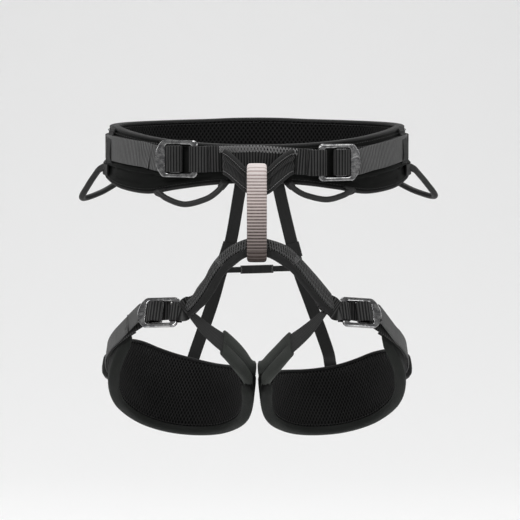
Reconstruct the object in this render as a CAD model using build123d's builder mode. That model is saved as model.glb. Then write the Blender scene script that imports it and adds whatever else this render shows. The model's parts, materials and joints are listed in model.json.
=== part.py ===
from build123d import *
import os
from math import cos, radians, sin, sqrt, tan

# A sport climbing harness, in millimetres. The wearer stands at the origin facing -Y, with +X on
# the wearer's left, and +Z is up. The origin is the centre of the waist opening.

# Waist belt: an upright elliptical band
BELT_A, BELT_B = 149.0, 95.0  # half-width and half-depth of the belt's outer face
PAD, LINING = 6.0, 3.0  # thickness of the foam and shell, and of the mesh inside it
SKIN = 0.2  # gap that is left between two layers
STRAP, STRAP_T = 25.0, 2.0  # belt webbing: width and thickness

# Leg loops: a tilted elliptical band round each thigh
THIGH_A, THIGH_B = 75.0, 91.0  # half-width and half-depth of a leg loop's outer face
THIGH_X, THIGH_Y, THIGH_Z = 76.0, -11.0, -200.0  # centre of the left leg loop
THIGH_TILT, THIGH_ROLL = 30.0, 6.0  # the front is higher than the back, the outside than the inside

# Centre
LOOP_Y, LOOP_TOP, LOOP_BOTTOM = -113.0, -2.0, -96.5  # belay loop
LOOP_DEPTH, LOOP_W, LOOP_T = 23.0, 19.0, 6.0
SHEET_T = 3.0  # thickness of the tie-in strap and of the crosspiece

# Gear loops and suspension
CORD_R = 3.2
RISER_W, RISER_T = 11.0, 1.8
BACK_Y = BELT_B + 2.0  # plane of the risers where they leave the belt

BIG = 400.0  # longer than the harness, for cutting sketches

os.makedirs("parts", exist_ok=True)
SIDES = {"right": -1, "left": 1}


def save(piece, label):
    piece.part.label = label
    export_step(piece.part, f"parts/{label}.step")


def belt_ring(inner, outer, low=-60, high=60):
    """Adds the upright band between two offsets from the belt's outer face."""
    with BuildSketch(Plane.XY.offset(low)) as ring:
        Ellipse(BELT_A + outer, BELT_B + outer)
        Ellipse(BELT_A + inner, BELT_B + inner, mode=Mode.SUBTRACT)
    extrude(ring.sketch, amount=high - low)


def front_cut(points, depth=BIG):
    """Keeps what is inside an outline drawn on the front view, in front of the middle."""
    with BuildSketch(Plane.XZ) as outline:
        Polygon(*points, align=None)
    extrude(outline.sketch, amount=depth, mode=Mode.INTERSECT)


def side_cut(points):
    """Keeps what is inside an outline drawn on the side view, as (y, z)."""
    with BuildSketch(Plane.YZ) as outline:
        Polygon(*points, align=None)
    extrude(outline.sketch, amount=BIG, both=True, mode=Mode.INTERSECT)


def belt_place(x, offset, z, side):
    """A plane on the belt's front, x out to the hip and z away from the wearer."""
    y = -BELT_B * sqrt(1 - (x / BELT_A) ** 2)
    normal = Vector(x / BELT_A**2, y / BELT_B**2, 0).normalized()
    tangent = Vector(-normal.Y, normal.X, 0) * side
    return Plane(origin=Vector(x, y, z) + normal * offset, x_dir=tangent, z_dir=normal)


def thigh_plane(side):
    """The leg loop's own plane: x to the wearer's left, y to the back, z up through the thigh."""
    t, roll = radians(THIGH_TILT), radians(THIGH_ROLL)
    up = Vector(0, sin(t), cos(t))
    across = Vector(1, 0, 0) * cos(roll) + up * (side * sin(roll))
    through = up * cos(roll) - Vector(1, 0, 0) * (side * sin(roll))
    return Plane(origin=(side * THIGH_X, THIGH_Y, THIGH_Z), x_dir=across, z_dir=through)


def thigh_ring(side, inner, outer):
    """Adds the tilted band between two offsets from the leg loop's outer face."""
    with BuildSketch(thigh_plane(side).offset(-70)) as ring:
        Ellipse(THIGH_A + outer, THIGH_B + outer)
        Ellipse(THIGH_A + inner, THIGH_B + inner, mode=Mode.SUBTRACT)
    extrude(ring.sketch, amount=140)


def thigh_cut(side, points):
    """Keeps what is inside an outline seen from the leg loop's side, as (back, up)."""
    own = thigh_plane(side)
    with BuildSketch(Plane(origin=own.origin, x_dir=own.y_dir, z_dir=own.x_dir)) as outline:
        Polygon(*points, align=None)
    extrude(outline.sketch, amount=BIG, both=True, mode=Mode.INTERSECT)


def thigh_half(side, start, end):
    """Keeps the stretch between two distances from the loop's middle, outwards."""
    low, high = sorted((side * start, side * end))
    with BuildSketch(thigh_plane(side).offset(-90)) as half:
        with Locations(((low + high) / 2, 0)):
            Rectangle(high - low, BIG)
    extrude(half.sketch, amount=180, mode=Mode.INTERSECT)


# ---------------------------------------------------------------- waist pad and its lining
def belt_profile(inset):
    """The belt's height from front to back: low in front, highest on the hips and the back."""
    top = [(-110, 15), (-74, 19.5), (-20, 31), (20, 33), (110, 33.5)]
    bottom = [(110, -30), (60, -28), (30, -22), (0, -19), (-20, -23), (-46, -31), (-66, -34)]
    front = [(-92, -23), (-110, -21)]
    upper = [(y, z - inset) for y, z in top]
    return upper + [(y, z + inset) for y, z in bottom + front]


with BuildPart() as waist_pad:
    belt_ring(-PAD, 0)
    side_cut(belt_profile(0))
save(waist_pad, "waist_pad")

with BuildPart() as waist_lining:
    belt_ring(-PAD - LINING, -PAD - SKIN)
    side_cut(belt_profile(2))
save(waist_lining, "waist_lining")

# ---------------------------------------------------------------- belt webbing
FRONT_IN, FRONT_OUT = 0.3, 2.8
with BuildPart() as front_webbing:
    belt_ring(FRONT_IN, FRONT_OUT)
    front_cut([(-64, 13.5), (0, 14.5), (65, 10), (65, -15), (0, -10), (-64, -11.5)])
save(front_webbing, "front_webbing")

BUCKLE_Z = {"right": 1.0, "left": -2.5}  # height of each waist buckle
BUCKLE_X = {"right": -75.0, "left": 77.0}
HIP_Z = 9.0  # height of the webbing on the hips
TAIL_START = 99.0  # where the tail comes out from under the buckle

for name, side in SIDES.items():
    low, high = BUCKLE_Z[name] - STRAP / 2, BUCKLE_Z[name] + STRAP / 2
    hip_low, hip_high = HIP_Z - STRAP / 2, HIP_Z + STRAP / 2
    inner_end = 68 * side
    with BuildPart() as side_strap:
        belt_ring(FRONT_IN, FRONT_IN + STRAP_T)
        front_cut(
            [(inner_end, low), (inner_end, high), (160 * side, hip_high + 2), (160 * side, hip_low)]
        )
    save(side_strap, f"{name}_side_strap")

    with BuildPart() as tail:
        belt_ring(2.6, 4.4)
        start = TAIL_START * side
        front_cut(
            [(start, low + 3), (start, high + 3), (160 * side, hip_high + 2), (160 * side, hip_low)]
        )
    save(tail, f"{name}_tail")

    # elastic keeper: stands over the tail and comes back to the pad above and below it
    with BuildPart() as keeper:
        belt_ring(0.3, 6.2)
        side_cut([(-26, -9), (-26, 29), (-6, 29), (-6, -9)])
        with BuildSketch(Plane.XZ):
            with Locations((side * 150, 11)):
                Rectangle(40, BIG)
        extrude(amount=100, mode=Mode.INTERSECT)
        with BuildSketch(Plane.XY.offset(-6.5)):
            Ellipse(BELT_A + 4.8, BELT_B + 4.8)
            Ellipse(BELT_A - 20, BELT_B - 20, mode=Mode.SUBTRACT)
        extrude(amount=31.5, mode=Mode.SUBTRACT)
    save(keeper, f"{name}_keeper")

    with BuildPart() as keeper_tab:
        belt_ring(0.3, 2.2)
        side_cut([(-28, -21), (-28, -10), (-4, -10), (-4, -18)])
        with BuildSketch(Plane.XZ):
            with Locations((side * 150, 0)):
                Rectangle(60, BIG)
        extrude(amount=100, mode=Mode.INTERSECT)
    save(keeper_tab, f"{name}_keeper_tab")


# ---------------------------------------------------------------- buckles
FRAME_T = 3.6  # thickness of a buckle's frame
GROOVE, GROOVES, GROOVE_STEP = 0.4, 7, 8.5  # grip on the end plate: depth, number and degrees apart


def buckle_frame(place, length, height, plate, bar, window):
    """A frame with one window, a narrow bar inside it and a bowed end plate with grooves outside."""
    half, tall, bow = length / 2, height / 2, 8.0
    with BuildSketch(place.offset(-FRAME_T / 2)) as plate_face:
        with BuildLine():
            Polyline((half - bow, tall), (-half, tall), (-half, -tall), (half - bow, -tall))
            ThreePointArc((half - bow, -tall), (half, 0), (half - bow, tall))
        make_face()
        fillet(plate_face.vertices(), 5)
        with Locations(((bar - plate) / 2, 0)):
            RectangleRounded(length - plate - bar, window, 2.5, mode=Mode.SUBTRACT)
    solid = extrude(plate_face.sketch, amount=FRAME_T)
    faces = solid.edges().group_by(Axis(place.origin, place.z_dir))
    fillet(faces[0] + faces[-1], 1.2)
    round_end = (tall**2 + bow**2) / (2 * bow)
    with BuildSketch(place.offset(FRAME_T / 2 - GROOVE)) as grip:
        reach = round_end - plate / 2
        for k in range(GROOVES):
            turn = (k - (GROOVES - 1) / 2) * GROOVE_STEP
            x, y = reach * cos(radians(turn)), reach * sin(radians(turn))
            with Locations(Location((half - round_end + x, y, 0), (0, 0, turn))):
                SlotOverall(plate - 4.5, 1.2)
    extrude(grip.sketch, amount=1, mode=Mode.SUBTRACT)


def buckle_slider(place, x, width, height):
    """The sliding plate that grips the webbing inside the window."""
    with BuildSketch(place.offset(-1.2)) as plate_face:
        with Locations((x, 0)):
            RectangleRounded(width, height, 2)
    extrude(plate_face.sketch, amount=2.4)


BUCKLE_LIFT = 6.5  # middle of the buckle's plate above the pad
for name, side in SIDES.items():
    place = belt_place(BUCKLE_X[name], BUCKLE_LIFT, BUCKLE_Z[name], side)
    with BuildPart() as waist_frame:
        buckle_frame(place, 44, 36, 11, 6, 27.5)
    save(waist_frame, f"{name}_waist_buckle_frame")
    with BuildPart() as waist_slider:
        buckle_slider(place, 1.5, 12, 26.6)
    save(waist_slider, f"{name}_waist_buckle_slider")

LEG_BUCKLE_X = {"right": -94.0, "left": 99.0}


def leg_buckle_place(name, side):
    """A plane on the leg loop's front, x outwards along the strap and z away from the leg."""
    own = thigh_plane(side)
    x = LEG_BUCKLE_X[name] - side * THIGH_X
    y = -THIGH_B * sqrt(1 - (x / THIGH_A) ** 2)
    normal = (own.x_dir * (x / THIGH_A**2) + own.y_dir * (y / THIGH_B**2)).normalized()
    outwards = own.z_dir.cross(normal).normalized() * side
    spot = own.origin + own.x_dir * x + own.y_dir * y + own.z_dir * 4
    return Plane(origin=spot + normal * BUCKLE_LIFT, x_dir=outwards, z_dir=normal)


for name, side in SIDES.items():
    place = leg_buckle_place(name, side)
    with BuildPart() as leg_frame:
        buckle_frame(place, 42, 31, 9.5, 6, 22.5)
    save(leg_frame, f"{name}_leg_buckle_frame")
    with BuildPart() as leg_slider:
        buckle_slider(place, 1.0, 12, 21.6)
    save(leg_slider, f"{name}_leg_buckle_slider")

# ---------------------------------------------------------------- tie-in strap and belay loop
TIE_HALF = 34.0  # half-width of the tie-in strap, where it is sewn to the belt
TIE_DEPTH = 14.9  # how far it stands out in the middle

with BuildPart() as tie_in_strap:
    edge_y = LOOP_Y + SHEET_T / 2 + TIE_DEPTH
    with BuildSketch(Plane.XY.offset(-50)):
        with BuildLine():
            ThreePointArc((-TIE_HALF, edge_y), (0, edge_y - TIE_DEPTH), (TIE_HALF, edge_y))
            Line((TIE_HALF, edge_y), (TIE_HALF + 2, edge_y - 2))
            ThreePointArc(
                (TIE_HALF + 2, edge_y - 2),
                (0, edge_y - TIE_DEPTH - SHEET_T),
                (-TIE_HALF - 2, edge_y - 2),
            )
            Line((-TIE_HALF - 2, edge_y - 2), (-TIE_HALF, edge_y))
        make_face()
    extrude(amount=80)
    front_cut(
        [(-36, 10), (-28, 9), (-10, -9), (10, -9), (28, 9), (36, 10), (36, -12), (28, -14)]
        + [(10, -31), (-10, -31), (-28, -14), (-36, -12)]
    )
save(tie_in_strap, "tie_in_strap")

with BuildPart() as belay_loop:
    middle, tall = (LOOP_TOP + LOOP_BOTTOM) / 2, LOOP_TOP - LOOP_BOTTOM
    with BuildSketch(Plane.YZ):
        with Locations((LOOP_Y, middle)):
            SlotOverall(tall, LOOP_DEPTH, rotation=90)
            SlotOverall(tall - 2 * LOOP_T, LOOP_DEPTH - 2 * LOOP_T, rotation=90, mode=Mode.SUBTRACT)
    extrude(amount=LOOP_W / 2, both=True)
save(belay_loop, "belay_loop")


# ---------------------------------------------------------------- crosspiece between the legs
def crosspiece_sheet(thick):
    """Adds the upright sheet that the crosspiece lies in: out at the loop, back to the thighs."""
    line = [(-100, -87.5), (-63, -95), (-30, -106), (0, LOOP_Y), (30, -106), (63, -95), (105, -86)]
    with BuildSketch(Plane.XY.offset(-200)) as sheet:
        with BuildLine():
            near = Spline(*[(x, y - thick / 2) for x, y in line])
            far = Spline(*[(x, y + thick / 2) for x, y in line])
            Line(near @ 0, far @ 0)
            Line(near @ 1, far @ 1)
        make_face()
    extrude(sheet.sketch, amount=150)


UPPER = [(-71, -134), (-58.5, -126), (-47.5, -114), (-44, -103.6), (-35.4, -92), (-23, -81.5)]
UPPER += [(-8, -75), (10, -75), (27.8, -82.5), (40, -92), (55.7, -109), (69.3, -122.8), (78, -131)]
SPLIT = [(76, -147), (66, -138), (52, -121), (38, -102.5), (26, -92), (10, -83.4)]
SPLIT += [(-8, -83.4), (-24, -91.5), (-37, -104), (-44, -121), (-54, -133), (-70, -150)]

with BuildPart() as crosspiece_webbing:
    crosspiece_sheet(SHEET_T)
    front_cut(UPPER + SPLIT)
save(crosspiece_webbing, "crosspiece_webbing")

with BuildPart() as crosspiece_tube:
    crosspiece_sheet(4.0)
    top = [(x, z - 0.4) for x, z in reversed(SPLIT)]
    bottom = [(71, -150), (61, -141), (47, -126), (35, -109.5), (24, -98), (11, -89)]
    bottom += [(-9, -89), (-22, -98.5), (-31, -109), (-40, -127), (-50, -140), (-66, -155)]
    front_cut(top + bottom)
save(crosspiece_tube, "crosspiece_tube")


# ---------------------------------------------------------------- leg loops
LEG_TOP = {  # the top edge from the front ends to the back of the thigh, as (back, up)
    "right": [(-32, -8), (0, 2), (40, 21), (70, 31), (100, 35)],
    "left": [(-32, -8), (0, -2), (40, 12), (70, 20), (100, 24)],
}
LEG_FOOT = [(100, -47), (70, -49), (40, -49), (0, -44), (-32, -36)]


def leg_profile(name, inset):
    """The leg pad's height from its front ends to the back of the thigh."""
    top = [(y, z - inset) for y, z in LEG_TOP[name]]
    return top + [(y, z + inset) for y, z in LEG_FOOT]


for name, side in SIDES.items():
    with BuildPart() as leg_pad:
        thigh_ring(side, -PAD, 0)
        thigh_cut(side, leg_profile(name, 0))
    save(leg_pad, f"{name}_leg_pad")

    with BuildPart() as leg_lining:
        thigh_ring(side, -PAD - LINING, -PAD - SKIN)
        thigh_cut(side, leg_profile(name, 2))
    save(leg_lining, f"{name}_leg_lining")

    # padded sleeve on the inside of the thigh, from the pad's front end towards the crosspiece
    with BuildPart() as sleeve:
        thigh_ring(side, -6, 0)
        thigh_cut(side, [(-33, -34), (-33, -10), (-78, -4), (-78, -26)])
        thigh_half(side, -80, -10)
    save(sleeve, f"{name}_inner_sleeve")

    with BuildPart() as inner_strap:
        thigh_ring(side, -4, -2)
        thigh_cut(side, [(-79, -24), (-79, -5), (-99, 10), (-99, -9)])
        thigh_half(side, -60, -9)
    save(inner_strap, f"{name}_inner_strap")

    # outer strap and the free end of its webbing, which lies on it
    band = [(-95, -7), (-95, 13), (0, 5), (30, 3), (30, -17), (0, -15)]
    with BuildPart() as leg_strap:
        thigh_ring(side, 0.3, 2.0)
        thigh_cut(side, band)
        thigh_half(side, 8, 90)
    save(leg_strap, f"{name}_leg_strap")

    with BuildPart() as leg_tail:
        thigh_ring(side, 2.3, 3.9)
        thigh_cut(side, band)
        thigh_half(side, 42, 90)
    save(leg_tail, f"{name}_leg_tail")

    with BuildPart() as leg_keeper:
        thigh_ring(side, 0.3, 5.6)
        thigh_cut(side, [(16, -21), (16, 8), (27, 8), (27, -21)])
        thigh_half(side, 40, 90)
        with BuildSketch(thigh_plane(side).offset(-18.5)):
            Ellipse(THIGH_A + 4.3, THIGH_B + 4.3)
        extrude(amount=24.5, mode=Mode.SUBTRACT)
    save(leg_keeper, f"{name}_leg_keeper")

    # sewn tab on the back of the pad, where the riser hooks on
    with BuildPart() as riser_tab:
        thigh_ring(side, 0.3, 2.3)
        thigh_cut(side, [(60, 8), (100, 8), (100, 39), (60, 39)])
        thigh_half(side, -14, 0)
    save(riser_tab, f"{name}_riser_tab")

# ---------------------------------------------------------------- rear suspension
RISER_TOP_Z, RISER_LOW_Z, RISER_LOW_Y = -12.0, -206.0, 92.5
RISER_LINE = {  # middle of each riser from the belt down to the leg loop, as (x, z)
    "right": [(-15, -12), (-28, -96), (-38, -127), (-64, -206)],
    "left": [(18, -12), (35, -94), (44, -127), (71, -206)],
}
CROSS_Z = -123.0


def suspension_slab(thick):
    """Keeps what lies within the plane of the risers."""
    t = thick / 2
    front = [(BACK_Y - t, RISER_TOP_Z + 1), (RISER_LOW_Y - t, RISER_LOW_Z - 1)]
    back = [(RISER_LOW_Y + t, RISER_LOW_Z - 1), (BACK_Y + t, RISER_TOP_Z + 1)]
    side_cut(front + back)


def rear_block(points):
    """Adds an outline drawn on the front view, behind the wearer."""
    with BuildSketch(Plane.XZ.offset(-BACK_Y - 20)) as outline:
        Polygon(*points, align=None)
    extrude(outline.sketch, amount=50)


def riser_outline(line, width):
    """A strip of constant level width about a line."""
    half = width / 2
    return [(x - half, z) for x, z in line] + [(x + half, z) for x, z in reversed(line)]


for name, side in SIDES.items():
    line = RISER_LINE[name]
    with BuildPart() as riser:
        rear_block(riser_outline(line, RISER_W))
        suspension_slab(RISER_T)
    save(riser, f"{name}_riser")

    # the sleeve's two faces, in front of and behind the riser, each thinner than a millimetre
    with BuildPart() as junction_sleeve:
        rear_block(riser_outline([(line[1][0], -97), (line[1][0] + 4 * side, -111)], 15))
        suspension_slab(4.4)
        with BuildSketch(Plane.YZ):
            t = RISER_T / 2 + 0.25
            Polygon(
                (BACK_Y - t, RISER_TOP_Z + 1),
                (RISER_LOW_Y - t, RISER_LOW_Z - 1),
                (RISER_LOW_Y + t, RISER_LOW_Z - 1),
                (BACK_Y + t, RISER_TOP_Z + 1),
                align=None,
            )
        extrude(amount=BIG, both=True, mode=Mode.SUBTRACT)
    save(junction_sleeve, f"{name}_junction_sleeve")

with BuildPart() as cross_strap:
    ends = {"right": RISER_LINE["right"][2][0] + 8, "left": RISER_LINE["left"][2][0] - 7}
    low, high = CROSS_Z - 4, CROSS_Z + 4
    rear_block(
        [(ends["right"] + 1, high), (ends["left"] - 1, high), (ends["left"], low)]
        + [(ends["right"], low)]
    )
    suspension_slab(1.6)
save(cross_strap, "cross_strap")


# ---------------------------------------------------------------- gear loops and haul loop
def cord_radii(points):
    """The largest arc that fits each corner of a route."""
    radii = []
    for before, here, after in zip(points, points[1:], points[2:]):
        one, two = Vector(here) - Vector(before), Vector(after) - Vector(here)
        turn = radians(one.get_angle(two))
        radii.append(0.45 * min(one.length, two.length) / tan(turn / 2))
    return radii


def cord(points):
    """Adds a round cord along straight runs joined by arcs."""
    with BuildLine() as route:
        FilletPolyline(*points, radius=cord_radii(points))
    with BuildSketch(Plane(origin=route.line @ 0, z_dir=route.line % 0)) as section:
        Circle(CORD_R)
    sweep(section.sketch, path=route.line)


# Each loop as its two ends on the belt and how far it hangs, with the places of its bends along
# the line between the ends and down the sag.
GEAR_LOOPS = {
    "right_front": ((-96, -79, -31), (-27, -100, -22), (-3, -6, -17)),
    "right_rear": ((-157, -14, -14), (-123, 62, -25), (-29, -4, -27)),
    "left_front": ((92, -82, -29), (27, -100, -22), (3, -6, -13)),
    "left_rear": ((157, -14, -14), (123, 62, -25), (28, -4, -27)),
}
BENDS = {"front": [(0, 0), (0.16, 0.5), (0.42, 0.85), (0.72, 0.62), (1, 0)]}
BENDS["rear"] = [(0, 0), (0.1, 0.55), (0.32, 0.98), (0.68, 0.65), (1, 0)]


def loop_points(name):
    start, end, sag = (Vector(*v) for v in GEAR_LOOPS[name])
    kind = name.split("_")[1]
    return [start + (end - start) * u + sag * v for u, v in BENDS[kind]]


for name in GEAR_LOOPS:
    with BuildPart() as gear_loop:
        cord(loop_points(name))
    save(gear_loop, f"{name}_gear_loop")

with BuildPart() as haul_loop:
    with BuildSketch(Plane.YZ):
        with Locations((BELT_B + 8, -2)):
            SlotOverall(44, 12, rotation=90)
            SlotOverall(40, 8, rotation=90, mode=Mode.SUBTRACT)
    extrude(amount=6, both=True)
save(haul_loop, "haul_loop")
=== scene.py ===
import json
from math import cos, pi, radians, sin

import bmesh
import bpy
import numpy as np
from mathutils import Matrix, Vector


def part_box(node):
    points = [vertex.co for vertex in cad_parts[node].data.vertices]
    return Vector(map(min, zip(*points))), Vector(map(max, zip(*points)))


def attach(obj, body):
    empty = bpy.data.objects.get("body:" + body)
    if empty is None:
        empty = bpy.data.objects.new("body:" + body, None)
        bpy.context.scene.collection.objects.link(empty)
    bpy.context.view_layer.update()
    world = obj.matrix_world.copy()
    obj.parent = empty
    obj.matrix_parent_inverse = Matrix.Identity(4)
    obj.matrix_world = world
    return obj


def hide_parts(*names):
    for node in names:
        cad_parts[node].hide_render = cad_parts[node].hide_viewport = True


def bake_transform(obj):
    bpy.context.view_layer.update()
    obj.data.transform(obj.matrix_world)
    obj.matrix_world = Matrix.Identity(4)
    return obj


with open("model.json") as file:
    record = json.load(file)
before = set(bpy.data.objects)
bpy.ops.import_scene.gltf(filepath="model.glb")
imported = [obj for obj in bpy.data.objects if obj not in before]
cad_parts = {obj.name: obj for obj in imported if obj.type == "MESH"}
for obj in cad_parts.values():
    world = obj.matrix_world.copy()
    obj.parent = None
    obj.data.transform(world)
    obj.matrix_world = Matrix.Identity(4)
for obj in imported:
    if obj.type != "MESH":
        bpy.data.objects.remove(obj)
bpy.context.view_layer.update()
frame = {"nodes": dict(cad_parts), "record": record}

# A climbing harness, worn by someone at the origin who faces -Y. Shapes are worked out in
# millimetres and written in metres. Places come from the frame: the belt's ellipse from its pad's
# box, each leg loop from its mount, the buckles from their hinges.
MM = 0.001
SIDES = {"right": -1, "left": 1}
MOUNTS = {m["name"]: m for m in frame["record"]["mounts"]}
JOINTS = {j["name"]: j for j in frame["record"]["behaviour"]["joints"]}


# -------------------- camera
def aim(obj, target):
    obj.rotation_euler = (Vector(target) - obj.location).to_track_quat("-Z", "Y").to_euler()


FRAME_WIDTH, DISTANCE = 0.520, 2.5
TARGET = Vector((0.003, 0.0, -0.105))
ELEVATION = radians(5.4)
camera = bpy.data.objects.new("camera", bpy.data.cameras.new("camera"))
bpy.context.scene.collection.objects.link(camera)
camera.location = TARGET + DISTANCE * Vector((0, -cos(ELEVATION), sin(ELEVATION)))
camera.data.sensor_width = 36.0
camera.data.lens = camera.data.sensor_width * DISTANCE / FRAME_WIDTH
camera.data.clip_end = 50.0
aim(camera, TARGET)
bpy.context.scene.camera = camera


# -------------------- numbers
def vec(*v):
    return np.array(v, float)


def unit(v):
    v = np.asarray(v, float)
    return v / np.linalg.norm(v, axis=-1, keepdims=True)


def place_of(item):
    """Where a joint or a mount is."""
    return np.array(item["pos_m"]) / MM


def box(node):
    """A node's lowest and highest corners."""
    return [np.array(corner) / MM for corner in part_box(node)]


def steps(start, end, step):
    """Evenly spaced values from start to end, about step apart."""
    return np.linspace(start, end, max(2, int(round(abs(end - start) / step)) + 1))


def between(low, high, share):
    """For each pair of a low and a high value, the values at these shares of the way up."""
    return low[:, None] + (high - low)[:, None] * share


def smooth(x, table):
    """A smooth curve through (x, y) pairs in rising x, with no overshoot."""
    xs, ys = (np.array(c, float) for c in zip(*table))
    h, d = np.diff(xs), np.diff(ys) / np.diff(xs)
    slope = np.zeros(len(xs))
    slope[0], slope[-1] = d[0], d[-1]
    for i in range(1, len(xs) - 1):
        if d[i - 1] * d[i] > 0:
            a, b = 2 * h[i] + h[i - 1], h[i] + 2 * h[i - 1]
            slope[i] = (a + b) / (a / d[i - 1] + b / d[i])
    x = np.clip(x, xs[0], xs[-1])
    k = np.clip(np.searchsorted(xs, x) - 1, 0, len(h) - 1)
    t = (x - xs[k]) / h[k]
    rise = (2 * t**3 - 3 * t**2 + 1) * ys[k] + (3 * t**2 - 2 * t**3) * ys[k + 1]
    return rise + h[k] * ((t**3 - 2 * t**2 + t) * slope[k] + (t**3 - t**2) * slope[k + 1])


def bump_at(x, centre, spread):
    """A soft hump of height 1."""
    return np.exp(-(((x - centre) / spread) ** 2))


def puffed(h, height, dip, spread):
    """A cushion's profile: level in the middle, and rounded off at both edges."""
    return height * (1 - (2 * h - 1) ** 4) - dip * (bump_at(h, 0, spread) + bump_at(h, 1, spread))


def rounded_ends(count, reach):
    """1 along a row of rings, falling to 0 over the last few at each end."""
    at = np.arange(count)
    return np.minimum(1, np.minimum(at, at[::-1]) / reach)[:, None] ** 0.5


def full_turn(count):
    return 2 * pi * np.arange(count) / count


def half_turn(turn):
    """A turn measured the shorter way round."""
    return pi - np.abs(pi - turn)


def pressed(wave, power):
    """A sine or cosine that is squarer than a circle's."""
    return np.sign(wave) * np.abs(wave) ** power


def through(points, step, closed=False):
    """Points about step apart along a smooth line through the given ones."""
    p = np.array(points, float)
    before, after = (p[-1], p[:2]) if closed else (2 * p[0] - p[1], 2 * p[-1] - p[-2])
    p = np.vstack([before, p, after])
    out = []
    for a, b, c, d in zip(p, p[1:], p[2:], p[3:]):
        n = max(2, int(np.linalg.norm(c[:3] - b[:3]) / step))
        t = (np.arange(n) / n)[:, None]
        curve = (c - a) * t + (2 * a - 5 * b + 4 * c - d) * t**2 + (3 * b - a - 3 * c + d) * t**3
        out.append(b + curve / 2)
    if not closed:
        out.append(p[-2:-1])
    return np.vstack(out)


def lengths(line):
    return np.concatenate([[0], np.cumsum(np.linalg.norm(np.diff(line, axis=0), axis=1))])


def tangents(line, closed=False):
    if closed:
        return unit(np.roll(line, -1, 0) - np.roll(line, 1, 0))
    return unit(np.gradient(line, axis=0))


def at_shares(t, s, array):
    """The rows of an array at the places t, where its own rows are at s."""
    return np.stack([np.interp(t, s, column) for column in array.T], 1)


def resample(line, step, *others):
    """The line and what goes with it, at evenly spaced points."""
    s = lengths(line)
    t = steps(0, s[-1], step)
    arrays = [at_shares(t, s, array) for array in (line, *others)]
    return arrays if others else arrays[0]


# -------------------- meshes
def add_piece(name, verts, faces, places, material, body, slot, replaces=None, soft=None):
    """One named piece. places are its faces' corners on the cloth."""
    mesh = bpy.data.meshes.new(name)
    mesh.from_pydata((np.reshape(verts, (-1, 3)) * MM).tolist(), [], faces)
    mesh.uv_layers.new(name="cloth").data.foreach_set("uv", (places * MM).ravel())
    bm = bmesh.new()
    bm.from_mesh(mesh)
    bmesh.ops.recalc_face_normals(bm, faces=bm.faces)
    bm.to_mesh(mesh)
    bm.free()
    mesh.materials.append(material)
    mesh.polygons.foreach_set("use_smooth", [True] * len(mesh.polygons))
    obj = bpy.data.objects.new(name, mesh)
    bpy.context.scene.collection.objects.link(obj)
    if body:
        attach(obj, body)
    if replaces:
        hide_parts(replaces)
    return obj


def joined(face, back):
    """A face's rows, carried on by those of the back behind it."""
    return np.concatenate([face, back], 1)


def cloth(run, places):
    """Places on the cloth: how far along it each ring is, and each point's place across it."""
    return np.stack(np.broadcast_arrays(run[:, None], places), 2)


def skin(name, rings, cloth_at, material, body="waist", slot="shell", closed=False, **traits):
    """A closed skin over rings of points, rings[i][j], with its ends capped unless it is closed."""
    n, m = rings.shape[:2]
    i, j = np.indices((n if closed else n - 1, m)).reshape(2, -1)
    i2, j2 = (i + 1) % n, (j + 1) % m
    faces = np.stack([i * m + j, i * m + j2, i2 * m + j2, i2 * m + j], 1).tolist()
    u, v = cloth_at[..., 0], cloth_at[..., 1]
    next_u = np.vstack([u[1:], 2 * u[-1:] - u[-2:-1]])
    corners = [(u[i, j], v[i, j]), (u[i, j2], v[i, j2]), (next_u[i, j2], v[i2, j2]), (next_u[i, j], v[i2, j])]
    places = np.moveaxis(np.array(corners), 2, 0).reshape(-1, 2)
    if not closed:
        faces += [list(range(m))[::-1], list(range((n - 1) * m, n * m))]
        places = np.vstack([places, cloth_at[0][::-1], cloth_at[-1]])
    return add_piece(name, rings, faces, places, material, body, slot, **traits)


def cushion(name, surface, run, face, back, apart, material, **how):
    """A padded skin on a surface. Its face and its back are each their heights and depths; apart
    keeps the back's cloth away from the face's."""
    rings = joined(surface(*face), surface(*back))
    skin(name, rings, cloth(run, joined(face[0], back[0] + apart)), material, **how)


def band_section(width, thick, count):
    """A strap's section, once round: places across it and through it."""
    r = thick / 2
    flat = np.linspace(r - width / 2, width / 2 - r, count)
    turn = np.radians(np.arange(22.5, 180, 22.5))
    edge, drop = flat[-1] + r * np.sin(turn), r * np.cos(turn)
    across = np.concatenate([flat, edge, flat[::-1], -edge])
    return across, np.concatenate([np.full(count, r), drop, np.full(count, -r), -drop])


def strap(name, line, across, width, thick, material, body="waist", slot="webbing", closed=False,
          ribs=None, both=False, cup=0.0, count=7, **traits):
    """A flat strap along a line. across is its width's direction, and width a number or one for
    each point. ribs are (pitch, depth), raised on its outer face, or on both."""
    tangent = tangents(line, closed)
    normal = unit(np.cross(np.broadcast_to(unit(across), line.shape), tangent))
    across = np.cross(tangent, normal)
    wide = np.broadcast_to(np.asarray(width, float), len(line))[:, None]
    section, through_it = band_section(np.max(wide), thick, count)
    share = section / (np.max(wide) / 2)
    run = lengths(line)
    places = share * wide / 2
    depth = through_it - cup * share**2 + 0 * wide
    if ribs:
        pitch, height = ribs
        wave = height * (np.abs(np.sin(pi * run / pitch)) - 0.6)
        raised = 1.0 * (through_it > thick * 0.2) - both * (through_it < -thick * 0.2)
        depth = depth + wave[:, None] * raised
    rings = line[:, None] + places[..., None] * across[:, None] + depth[..., None] * normal[:, None]
    return skin(name, rings, cloth(run, places), material, body, slot, closed, **traits)


def rings_round(line, guide, count, radius, flat=1.0):
    """A ring of points round each point of a line."""
    tangent = tangents(line)
    side = unit(np.cross(tangent, guide))
    top = np.cross(side, tangent)
    turn = full_turn(count)[:, None]
    return line[:, None] + radius * (np.cos(turn) * side[:, None] + flat * np.sin(turn) * top[:, None])


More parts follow.
